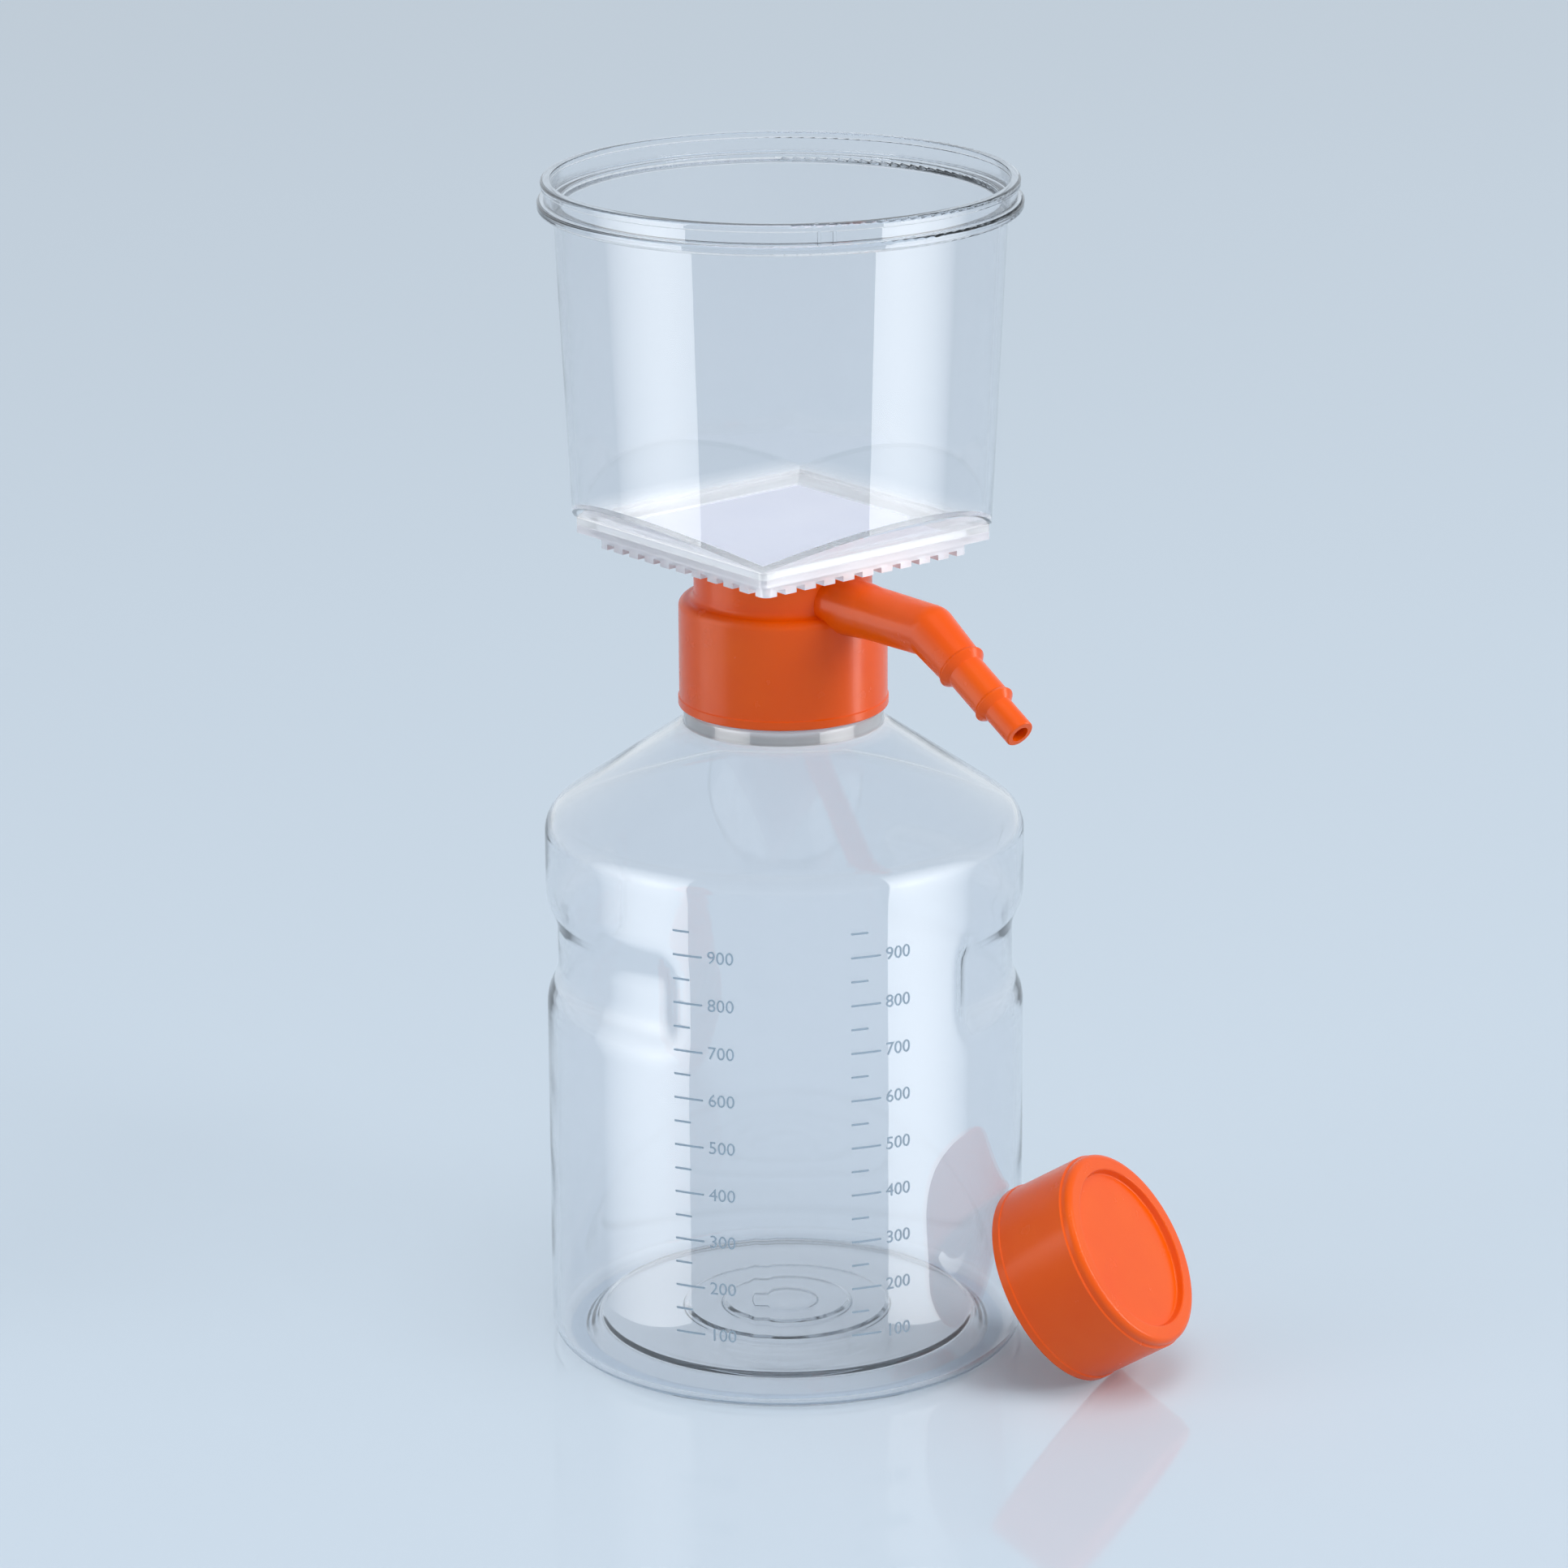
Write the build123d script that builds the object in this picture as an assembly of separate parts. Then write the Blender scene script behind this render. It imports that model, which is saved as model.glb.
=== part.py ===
"""Bottle-top vacuum filtration unit.

A clear moulded funnel with a square membrane stands on an orange screw adapter, which closes the
neck of a clear receiver bottle. The adapter's stepped hose arm draws the bottle down to vacuum.
A loose orange storage cap leans against the bottle.

Lengths are in millimetres. The origin is the centre of the bottle's foot, +Z is up, and the
bottle's axis is the Z axis.
"""
import os
from math import cos, radians, sin, sqrt, tan

from build123d import *

os.makedirs("parts", exist_ok=True)

# ---- Common to all the mouldings -----------------------------------------------------------
EDGE = 0.4               # rounding of small moulded edges
SOFT_EDGE = 0.7          # rounding of edges that hands touch
PAST = 1.0               # how far a cutting tool runs past the face it opens

# ---- Receiver bottle -----------------------------------------------------------------------
BODY_R = 55.0            # outer radius of the body
BOTTLE_WALL = 1.8        # wall of the body and the shoulder
BODY_H = 125.7           # height at which the body and the shoulder cone meet
SHOULDER_ANGLE = 35.0    # slope of the shoulder from the horizontal, degrees
SHOULDER_FILLET = 6.0    # rounding between body and shoulder
FOOT_FILLET = 4.2        # rounding of the heel
FOOT_RING = 4.4          # width of the ring that the bottle stands on
BASE_RISE = 3.4          # push-up of the base inside the foot ring, at 45 degrees
BASE_BLEND = 1.5         # rounding where that push-up ends
BASE_RINGS = (24.0, 15.0, 7.0)   # radii of the stepped rings under the base
BASE_RING_STEP = 0.5     # height of each of those steps

GRIP_BOTTOM = 82.5       # the two finger grips, from here ...
GRIP_TOP = 107.5         # ... to here
GRIP_DEPTH = 2.6
GRIP_HALF_ANGLE = 54.0   # half of the arc that one grip covers
GRIP_CORNER = 7.0        # rounding of a grip's corners, seen from its side
GRIP_AZIMUTH = 10.0      # middle of the first grip; the second is opposite
GRIP_LOW_SLOPE = 0.20    # share of a grip's height that its lower slope takes
GRIP_HIGH_SLOPE = 0.32   # the same of its upper slope
GRIP_CROWN = 0.26        # depth of the curved middle between the slopes
GRIP_FOLLOW = 0.4        # how far the ends move out on the wall's inner side, as a share of the wall

# ---- Screw neck ----------------------------------------------------------------------------
NECK_R = 20.6            # outside of the neck under the thread
NECK_WALL = 2.8
NECK_RING_R = 22.9       # plain ring at the root of the neck
NECK_RING_TOP = 3.4      # its top, above the point where the shoulder reaches it
NECK_H = 21.6            # from the ring's top to the lip
NECK_LIP_EDGE = 0.8      # rounding of the lip's outer edge
THROAT_BLEND = 2.0       # rounding between shoulder and neck inside
THREAD_LEAD = 6.0
THREAD_DEPTH = 1.4
THREAD_BASE = 2.6        # width of the thread ridge where it leaves the wall
THREAD_CREST = 1.2
THREAD_RADIAL_GAP = 0.4  # crest of one thread to the wall of the other
THREAD_FLANK_GAP = 0.3
NECK_TURNS = 1.5
CAP_TURNS = 1.25
THREAD_LIP = 3.0         # lip of the neck to the top of its thread
THREAD_ROOT = 0.5        # how deep a ridge is rooted in its wall
THREAD_FADE = 18.0       # arc over which a thread end runs out, degrees
FADE_HEIGHT = 0.1        # share of the ridge's height that is left at its very end
FADE_WIDTH = 0.5         # the same of its width

# ---- Gasket and bottle adapter -------------------------------------------------------------
GASKET_T = 1.5
GASKET_GAP = 0.3         # gasket to the skirt round it
SKIRT_WALL = 1.4
SKIRT_CLEAR = 0.5        # skirt's lower edge above the neck ring
ADAPTER_TOP_T = 2.5      # thickness of the adapter's top wall
RIM_BAND_H = 2.0         # plain band round the open edge of adapter and cap
RIM_BAND_STEP = 0.25     # how far that band stands out
COLLAR_R = 20.3          # collar that carries the funnel's plate
COLLAR_WALL = 1.8
COLLAR_H = 10.6
COLLAR_FILLET = 1.4
ADAPTER_EDGE = 2.0       # rounding of the adapter's upper edge
DRAIN_SHELF = 3.0        # shelf left in the collar round the opening into the bottle

# ---- Hose arm ------------------------------------------------------------------------------
ARM_AZIMUTH = -50.3      # direction of the arm, square with one side of the funnel's foot
ARM_RISE = 2.4           # arm's axis above the adapter's top face
ARM_ELBOW = 51.0         # elbow from the bottle's axis
ARM_ROOT_R = 6.9         # root of the arm, which tapers quickly ...
ARM_R = 5.9              # ... to this at the elbow
ARM_TAPER = 0.4          # share of the level run over which most of that taper lies
ARM_SLIM = 0.2           # what is left of the taper there
ARM_DROOP = 30.0         # the connector points this far below the horizontal
CONNECTOR_L = 34.5
CONNECTOR_R = (5.3, 4.4, 3.4)    # hose sizes, from the elbow to the tip
CONNECTOR_BEAD = 0.5     # height of the bead behind each smaller size
BEAD_EDGE = 0.3
CONNECTOR_STEPS = (0.37, 0.73)   # where the size changes, as shares of the connector
TIP_BORE_R = 2.0
ARM_BORE_R = 2.6
PLUG_L = 12.0            # fibre plug in the arm
PLUG_GAP = 0.1
PLUG_INSET = 5.0         # inner end of the plug from the collar's outside

# ---- Base plate and membrane ---------------------------------------------------------------
FUNNEL_FOOT_R = 47.4     # outside of the funnel's wall at the foot
FOOT_PROUD = 0.08        # how far the square foot's sides lie outside that wall's inscribed square
FOOT_CORNER = 1.5
PLATE_FLANGE_T = 1.9
TRAY_INSET = 3.8         # sides of the tray inside those of the foot
TRAY_T = 3.6
TRAY_CORNER = 2.0
GROOVE_PITCH = 5.6       # grooves across the tray's underside
GROOVE_W = 2.4
GROOVE_DEPTH = 1.3
LAND_MARGIN = 0.8        # plain ring round the collar that stays free of grooves
DRAIN_MARGIN = 3.0       # sides of the drain pocket inside those of the membrane
DRAIN_DEPTH = 2.0
DRAIN_PITCH = 4.6        # support ribs in the drain pocket
DRAIN_RIB = 1.2
DRAIN_CHANNEL = 4.0      # cross channel that joins the drains
PLUG_RING_WALL = 1.7     # ring that plugs into the collar
PLUG_RING_H = 3.2
PLUG_RING_GAP = 0.2
SPOUT_R = 6.8
SPOUT_WALL = 1.5
SPOUT_BELOW_LIP = 7.0    # end of the spout below the bottle's lip
SPOUT_DRAFT = 0.5        # how much slimmer the spout is at its end
MEMBRANE_MARGIN = 3.0    # sides of the membrane inside those of the foot
MEMBRANE_T = 0.35
MEMBRANE_GAP = 0.3

# ---- Funnel --------------------------------------------------------------------------------
FUNNEL_WALL = 1.7
FUNNEL_FOOT_T = 1.5
FUNNEL_TOP_R = 50.9      # outside of the wall under the rim
FUNNEL_H = 80.7          # foot to lip
FLAT_ANGLE = 31.0        # slope of the four flats from the horizontal
FLAT_INSET = 0.5         # flats start this far inside the foot's edge
CLAMP_W = 2.4            # frame of the funnel's foot that clamps the membrane's edge
RIM_H = 6.8              # lower edge of the ledge to the lip
RIM_OUT = 2.1            # rim above the ledge, outside the wall's top
RIM_WALL = 1.5
LEDGE_OUT = 1.4          # ledge that a lid sits on, outside the rim
LEDGE_T = 2.2
LIP_OUT = 0.6            # lip at the very top, outside the rim
LIP_H = 1.7
LIP_EDGE = 0.3           # rounding of the lip's lower edge
STOP_AZIMUTH = -79.3     # pair of lid stops between ledge and lip
STOP_SPACING = 3.4
STOP_W = 0.7
STOP_ROOT = 0.6          # how deep the stops are rooted in the rim
STOP_BITE = 0.2          # how far they run into ledge and lip

# ---- Storage cap ---------------------------------------------------------------------------
CAP_H = 22.0
CAP_TOP_T = 2.0
CAP_RIM_W = 4.6          # raised rim round the dished panel in the cap's top
CAP_RECESS_DEPTH = 1.6
CAP_RECESS_DRAFT = 0.5   # how much wider the dish is at its top
CAP_SHOULDER_H = 2.6     # turned-in band under the cap's top
CAP_SHOULDER_STEP = 0.4
CAP_SHOULDER_SLOPE = 0.3
CAP_EDGE = 1.5
SEAL_CLEAR = 0.6         # plug seal to the neck's bore
SEAL_WALL = 1.2
SEAL_H = 3.0
LEAN_ELEVATION = 32.5    # tilt of the leaning cap's axis
LEAN_AZIMUTH = -24.5     # side of the bottle that the cap leans on
LEAN_GAP = 0.25          # cap to bottle and cap to the standing surface

# ---- Levels and radii worked out from the above --------------------------------------------
SHOULDER_SLOPE = tan(radians(SHOULDER_ANGLE))
RING_Z = BODY_H + (BODY_R - NECK_RING_R) * SHOULDER_SLOPE
NECK_BASE_Z = RING_Z + NECK_RING_TOP
LIP_Z = NECK_BASE_Z + NECK_H
ROOF_Z = LIP_Z + GASKET_T                    # underside of the adapter's top wall
ADAPTER_TOP_Z = ROOF_Z + ADAPTER_TOP_T
SKIRT_Z = NECK_BASE_Z + SKIRT_CLEAR
TRAY_Z = ADAPTER_TOP_Z + COLLAR_H
FLANGE_Z = TRAY_Z + TRAY_T
SEAT_Z = FLANGE_Z + PLATE_FLANGE_T           # funnel on base plate
FOOT_TOP_Z = SEAT_Z + FUNNEL_FOOT_T
LIP_TOP_Z = SEAT_Z + FUNNEL_H
THREAD_R = NECK_R + THREAD_DEPTH             # crest of the neck's thread
SKIRT_BORE_R = THREAD_R + THREAD_RADIAL_GAP
SKIRT_R = SKIRT_BORE_R + SKIRT_WALL
RIM_BAND_R = SKIRT_R + RIM_BAND_STEP
COLLAR_BORE_R = COLLAR_R - COLLAR_WALL
NECK_BORE_R = NECK_R - NECK_WALL
FOOT_HALF = FUNNEL_FOOT_R / sqrt(2) + FOOT_PROUD         # half the side of the square foot
TRAY_HALF = FOOT_HALF - TRAY_INSET
MEMBRANE_HALF = FOOT_HALF - MEMBRANE_MARGIN
RIM_R = FUNNEL_TOP_R + RIM_OUT


def revolved(points):
    """Solid of revolution about Z from (radius, height, fillet) corners of its half section."""
    section = make_face(Plane.XZ * Polyline([(r, z) for r, z, f in points], close=True))
    for r, z, f in points:
        if f > 0:
            corner = section.vertices().sort_by_distance(Vector(r, 0, z))[0]
            section = fillet(corner, f)
    return revolve(section, Axis.Z)


def tube(outer_r, inner_r, bottom, top):
    """Plain ring about Z."""
    return revolved([(inner_r, bottom, 0), (outer_r, bottom, 0), (outer_r, top, 0), (inner_r, top, 0)])


def square_block(half, bottom, top, corner=0.0):
    """Square block about Z, its sides square with the hose arm."""
    outline = Rectangle(2 * half, 2 * half)
    if corner > 0:
        outline = fillet(outline.vertices(), corner)
    return Pos(0, 0, bottom) * Rot(0, 0, ARM_AZIMUTH) * extrude(outline, top - bottom)


def square_frustum(bottom_half, bottom, slope, height):
    """Inverted square frustum whose four sides open outwards at slope degrees from level."""
    top_half = bottom_half + height / tan(radians(slope))
    lower = Pos(0, 0, bottom) * Rot(0, 0, ARM_AZIMUTH) * Rectangle(2 * bottom_half, 2 * bottom_half)
    upper = Pos(0, 0, bottom + height) * Rot(0, 0, ARM_AZIMUTH) * Rectangle(2 * top_half, 2 * top_half)
    return loft([lower, upper])


def thread(wall_r, crest_r, start_z, turns):
    """Single-start thread ridge on a wall of radius wall_r, with ends that run out into it.

    start_z is the height of the ridge's middle where it starts.
    """
    root_r = wall_r - THREAD_ROOT if crest_r > wall_r else wall_r + THREAD_ROOT

    def section(angle, crest, share):
        """Trapezium of the ridge at an angle along the helix."""
        z = THREAD_LEAD * angle / 360
        plane = Plane(
            origin=(0, 0, z),
            x_dir=(cos(radians(angle)), sin(radians(angle)), 0),
            z_dir=(sin(radians(angle)), -cos(radians(angle)), 0),
        )
        base = THREAD_BASE / 2 * share
        tip = THREAD_CREST / 2 * share
        corners = [(root_r, -base), (crest, -tip), (crest, tip), (root_r, base)]
        return make_face(plane * Polyline(corners, close=True))

    run = 360 * turns
    path = Helix(THREAD_LEAD, THREAD_LEAD * turns, wall_r)
    ridge = sweep(section(0, crest_r, 1.0), path, is_frenet=True)
    faded_r = wall_r + FADE_HEIGHT * (crest_r - wall_r)
    ridge += loft([section(0, crest_r, 1.0), section(-THREAD_FADE, faded_r, FADE_WIDTH)])
    ridge += loft([section(run, crest_r, 1.0), section(run + THREAD_FADE, faded_r, FADE_WIDTH)])
    return Pos(0, 0, start_z) * ridge


def grip_cutter(offset):
    """Both finger grips as one tool; offset moves its faces into the wall for the inner side."""
    deep_r = BODY_R - GRIP_DEPTH - offset
    rim_r = BODY_R - offset
    far_r = BODY_R + GRIP_DEPTH
    low = GRIP_BOTTOM - GRIP_FOLLOW * offset
    high = GRIP_TOP + GRIP_FOLLOW * offset
    low_bend = (deep_r + GRIP_CROWN, low + GRIP_LOW_SLOPE * (high - low))
    high_bend = (deep_r + GRIP_CROWN, high - GRIP_HIGH_SLOPE * (high - low))
    middle = (deep_r, (low_bend[1] + high_bend[1]) / 2)
    outline = Polyline(low_bend, (rim_r, low), (far_r, low), (far_r, high), (rim_r, high), high_bend)
    hollow = ThreePointArc(low_bend, middle, high_bend)
    ring = revolve(make_face(Plane.XZ * (outline + hollow)), Axis.Z)

    # The mould opens along the grips' middle, so their ends are drawn straight out that way.
    half_width = BODY_R * sin(radians(GRIP_HALF_ANGLE)) + offset
    window = Plane.YZ * RectangleRounded(2 * half_width, high - low, GRIP_CORNER + offset)
    one = ring & extrude(Pos(0, 0, (low + high) / 2) * window, far_r)
    return (Rot(0, 0, GRIP_AZIMUTH) * one) + (Rot(0, 0, GRIP_AZIMUTH + 180) * one)


def receiver_bottle():
    """Clear moulded bottle: body with finger grips, conical shoulder and threaded neck."""
    ring_in = BODY_R - FOOT_FILLET - FOOT_RING
    outside = [(0, BASE_RISE + len(BASE_RINGS) * BASE_RING_STEP, 0)]
    for count, ring_r in enumerate(reversed(BASE_RINGS)):
        level = BASE_RISE + (len(BASE_RINGS) - count) * BASE_RING_STEP
        outside += [(ring_r, level, 0), (ring_r, level - BASE_RING_STEP, 0)]
    outside += [
        (ring_in - BASE_RISE, BASE_RISE, BASE_BLEND),
        (ring_in, 0, SOFT_EDGE),
        (BODY_R, 0, FOOT_FILLET),
        (BODY_R, BODY_H, SHOULDER_FILLET),
        (NECK_RING_R, RING_Z, 0),
        (NECK_RING_R, NECK_BASE_Z, SOFT_EDGE),
        (NECK_R, NECK_BASE_Z, EDGE),
        (NECK_R, LIP_Z, NECK_LIP_EDGE),
        (0, LIP_Z, 0),
    ]
    bottle = revolved(outside) - grip_cutter(0)

    wall_r = BODY_R - BOTTLE_WALL
    drop = BOTTLE_WALL / cos(radians(SHOULDER_ANGLE)) - BOTTLE_WALL * SHOULDER_SLOPE
    floor_z = BASE_RISE + len(BASE_RINGS) * BASE_RING_STEP + BOTTLE_WALL
    throat_z = BODY_H - drop + (wall_r - NECK_BORE_R) * SHOULDER_SLOPE
    inside = revolved([
        (0, floor_z, 0),
        (ring_in - BASE_RISE, BASE_RISE + BOTTLE_WALL, BASE_BLEND),
        (ring_in + BOTTLE_WALL / 2, BOTTLE_WALL, SOFT_EDGE),
        (wall_r, BOTTLE_WALL, FOOT_FILLET - BOTTLE_WALL),
        (wall_r, BODY_H - drop, SHOULDER_FILLET - BOTTLE_WALL),
        (NECK_BORE_R, throat_z, THROAT_BLEND),
        (NECK_BORE_R, LIP_Z + PAST, 0),
        (0, LIP_Z + PAST, 0),
    ]) - grip_cutter(BOTTLE_WALL)
    bottle -= inside

    start_z = LIP_Z - THREAD_LIP - NECK_TURNS * THREAD_LEAD
    return bottle + thread(NECK_R, THREAD_R, start_z, NECK_TURNS)


def inner_thread():
    """Thread ridge inside the adapter, just under the neck's thread when it is screwed home."""
    engaged = (THREAD_BASE + THREAD_CREST) / 2
    overlap = THREAD_DEPTH - THREAD_RADIAL_GAP
    widths = engaged - (engaged - THREAD_CREST) * (2 * overlap / THREAD_DEPTH - 1)
    drop = widths + THREAD_FLANK_GAP
    start_z = LIP_Z - THREAD_LIP - NECK_TURNS * THREAD_LEAD - drop
    return thread(SKIRT_BORE_R, SKIRT_BORE_R - THREAD_DEPTH, start_z, CAP_TURNS)


def neck_gasket():
    """Flat ring between the bottle's lip and the adapter."""
    return tube(SKIRT_BORE_R - GASKET_GAP, NECK_BORE_R, LIP_Z, ROOF_Z)


def arm_place(along):
    """Place, at a distance from the bottle's axis, of a local Z that points out along the arm."""
    return Rot(0, 0, ARM_AZIMUTH) * Pos(along, 0, ADAPTER_TOP_Z + ARM_RISE) * Rot(0, 90, 0)


def round_bar(radius, length):
    """Cylinder that stands on the local origin."""
    return Cylinder(radius, length, align=(Align.CENTER, Align.CENTER, Align.MIN))


def connector():
    """Stepped hose connector beyond the elbow, along local Z, with a bead behind each size."""
    first, second = (CONNECTOR_L * share for share in CONNECTOR_STEPS)
    large, middle, small = CONNECTOR_R
    bead = CONNECTOR_BEAD
    return revolved([
        (0, 0, 0),
        (ARM_R, 0, 0),
        (large, first - 3 * bead, 0),
        (large + bead, first - 1.5 * bead, BEAD_EDGE),
        (large + bead, first - bead, BEAD_EDGE),
        (middle, first + 2 * bead, 0),
        (middle, second - 3 * bead, 0),
        (middle + bead, second - 1.5 * bead, BEAD_EDGE),
        (middle + bead, second - bead, BEAD_EDGE),
        (small, second + 2 * bead, 0),
        (small, CONNECTOR_L, EDGE),
        (0, CONNECTOR_L, 0),
    ])


def hose_arm():
    """Solid hose arm: level run from the collar, round elbow and connector."""
    level_run = ARM_ELBOW - COLLAR_BORE_R
    run = revolved([
        (0, 0, 0),
        (ARM_ROOT_R, 0, 0),
        (ARM_ROOT_R, COLLAR_WALL + PAST, 0),
        (ARM_R + ARM_SLIM, ARM_TAPER * level_run, 0),
        (ARM_R, level_run, 0),
        (0, level_run, 0),
    ])
    elbow = arm_place(ARM_ELBOW)
    return arm_place(COLLAR_BORE_R) * run + elbow * Sphere(ARM_R) + elbow * Rot(0, ARM_DROOP, 0) * connector()


def arm_bore():
    """Bore through the arm, from inside the collar to the connector's tip."""
    start = COLLAR_BORE_R - ARM_BORE_R
    elbow = arm_place(ARM_ELBOW)
    bore = arm_place(start) * round_bar(ARM_BORE_R, ARM_ELBOW - start)
    bore += elbow * Sphere(ARM_BORE_R)
    return bore + elbow * Rot(0, ARM_DROOP, 0) * round_bar(TIP_BORE_R, CONNECTOR_L + PAST)


def bottle_adapter():
    """Orange screw adapter: skirt, collar and hose arm moulded in one."""
    body = revolved([
        (0, SKIRT_Z, 0),
        (RIM_BAND_R, SKIRT_Z, EDGE),
        (RIM_BAND_R, SKIRT_Z + RIM_BAND_H, 0),
        (SKIRT_R, SKIRT_Z + RIM_BAND_H + RIM_BAND_STEP, 0),
        (SKIRT_R, ADAPTER_TOP_Z, ADAPTER_EDGE),
        (COLLAR_R, ADAPTER_TOP_Z, COLLAR_FILLET),
        (COLLAR_R, TRAY_Z, 0),
        (0, TRAY_Z, 0),
    ])
    drain_r = COLLAR_BORE_R - DRAIN_SHELF
    hollow = revolved([
        (0, SKIRT_Z - PAST, 0),
        (SKIRT_BORE_R, SKIRT_Z - PAST, 0),
        (SKIRT_BORE_R, ROOF_Z, 0),
        (drain_r, ROOF_Z, 0),
        (drain_r, ADAPTER_TOP_Z, 0),
        (COLLAR_BORE_R, ADAPTER_TOP_Z, 0),
        (COLLAR_BORE_R, TRAY_Z + PAST, 0),
        (0, TRAY_Z + PAST, 0),
    ])
    return body + hose_arm() - hollow - arm_bore() + inner_thread()


def vacuum_plug():
    """Fibre plug in the arm's bore, which keeps mist out of the vacuum line."""
    return arm_place(COLLAR_R + PLUG_INSET) * round_bar(ARM_BORE_R - PLUG_GAP, PLUG_L)


def tray_grooves():
    """Grooves in both directions across the tray's underside, outside the collar's land."""
    count = int(TRAY_HALF / GROOVE_PITCH)
    turn = Rot(0, 0, ARM_AZIMUTH)
    grooves = None
    for step in range(-count, count):
        middle = (step + 0.5) * GROOVE_PITCH
        for quarter in (0, 90):
            groove = Box(3 * TRAY_HALF, GROOVE_W, 2 * GROOVE_DEPTH)
            placed = Pos(0, 0, TRAY_Z) * turn * Rot(0, 0, quarter) * Pos(0, middle, 0) * groove
            grooves = placed if grooves is None else grooves + placed
    land = Pos(0, 0, TRAY_Z) * Cylinder(COLLAR_R + LAND_MARGIN, 4 * GROOVE_DEPTH)
    return grooves - land


def drain_pocket():
    """Drain under the membrane: parallel channels that meet in a cross channel."""
    top = SEAT_Z - MEMBRANE_T
    drain_half = MEMBRANE_HALF - DRAIN_MARGIN
    pocket = square_block(drain_half, top - DRAIN_DEPTH, top + MEMBRANE_T)
    rib_len = drain_half - DRAIN_CHANNEL
    count = int((drain_half - DRAIN_RIB) / DRAIN_PITCH)
    turn = Rot(0, 0, ARM_AZIMUTH)
    for step in range(-count, count + 1):
        for side in (-1, 1):
            rib = Box(rib_len, DRAIN_RIB, DRAIN_DEPTH)
            centre = Pos(side * (DRAIN_CHANNEL + rib_len) / 2, step * DRAIN_PITCH, top - DRAIN_DEPTH / 2)
            pocket -= turn * centre * rib
    return pocket


def base_plate():
    """Clear square plate under the membrane: flange, grooved tray, collar plug and spout."""
    plate = square_block(FOOT_HALF, FLANGE_Z, SEAT_Z, FOOT_CORNER)
    plate += square_block(TRAY_HALF, TRAY_Z, FLANGE_Z, TRAY_CORNER) - tray_grooves()
    plug_r = COLLAR_BORE_R - PLUG_RING_GAP
    plate += tube(plug_r, plug_r - PLUG_RING_WALL, TRAY_Z - PLUG_RING_H, TRAY_Z)
    spout_end = LIP_Z - SPOUT_BELOW_LIP
    plate += revolved([
        (0, spout_end, 0),
        (SPOUT_R - SPOUT_DRAFT, spout_end, 0),
        (SPOUT_R, TRAY_Z, 0),
        (0, TRAY_Z, 0),
    ])
    plate -= square_block(MEMBRANE_HALF + MEMBRANE_GAP, SEAT_Z - MEMBRANE_T, SEAT_Z + PAST)
    plate -= drain_pocket()
    bore_r = SPOUT_R - SPOUT_WALL
    plate -= revolved([
        (0, spout_end - PAST, 0),
        (bore_r - SPOUT_DRAFT, spout_end - PAST, 0),
        (bore_r, TRAY_Z, 0),
        (bore_r, SEAT_Z, 0),
        (0, SEAT_Z, 0),
    ])
    return plate


def filter_membrane():
    """Thin square membrane clamped between plate and funnel."""
    return square_block(MEMBRANE_HALF, SEAT_Z - MEMBRANE_T, SEAT_Z)


def lid_stops(ledge_top, lip_bottom):
    """Pair of small stops between ledge and lip, which keep a lid from turning."""
    inner_r = RIM_R - STOP_ROOT
    outer_r = RIM_R + LIP_OUT
    stop = Box(outer_r - inner_r, STOP_W, lip_bottom - ledge_top + 2 * STOP_BITE)
    middle = Pos((inner_r + outer_r) / 2, 0, (lip_bottom + ledge_top) / 2)
    pair = [Pos(0, side * STOP_SPACING / 2, 0) * middle * stop for side in (-1, 1)]
    return Rot(0, 0, STOP_AZIMUTH) * (pair[0] + pair[1])


def funnel():
    """Clear moulded funnel: tapered wall, lid rim, four sloped flats and a square foot."""
    ledge_z = LIP_TOP_Z - RIM_H
    ledge_top = ledge_z + LEDGE_T
    lip_z = LIP_TOP_Z - LIP_H
    flat_half = FOOT_HALF - FLAT_INSET
    shell = revolved([
        (0, FOOT_TOP_Z, 0),
        (FUNNEL_FOOT_R, FOOT_TOP_Z, 0),
        (FUNNEL_TOP_R, ledge_z, EDGE),
        (RIM_R + LEDGE_OUT, ledge_z, SOFT_EDGE),
        (RIM_R + LEDGE_OUT, ledge_top, SOFT_EDGE),
        (RIM_R, ledge_top, 0),
        (RIM_R, lip_z, 0),
        (RIM_R + LIP_OUT, lip_z, LIP_EDGE),
        (RIM_R + LIP_OUT, LIP_TOP_Z, SOFT_EDGE),
        (0, LIP_TOP_Z, 0),
    ])
    shell &= square_frustum(flat_half, FOOT_TOP_Z, FLAT_ANGLE, FUNNEL_H)
    shell += square_block(FOOT_HALF, SEAT_Z, FOOT_TOP_Z, FOOT_CORNER)
    shell += lid_stops(ledge_top, lip_z)

    cavity = revolved([
        (0, SEAT_Z, 0),
        (FUNNEL_FOOT_R - FUNNEL_WALL, SEAT_Z, 0),
        (FUNNEL_TOP_R - FUNNEL_WALL, ledge_top, EDGE),
        (RIM_R - RIM_WALL, ledge_top, EDGE),
        (RIM_R - RIM_WALL, LIP_TOP_Z + PAST, 0),
        (0, LIP_TOP_Z + PAST, 0),
    ])
    wall_shift = FUNNEL_WALL / sin(radians(FLAT_ANGLE))
    inner_half = flat_half - wall_shift - FUNNEL_FOOT_T / tan(radians(FLAT_ANGLE))
    cavity &= square_frustum(inner_half, SEAT_Z, FLAT_ANGLE, FUNNEL_H + 2 * PAST)
    cavity += square_block(MEMBRANE_HALF - CLAMP_W, SEAT_Z - PAST, SEAT_Z + FUNNEL_FOOT_T / 2)
    return shell - cavity


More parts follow.
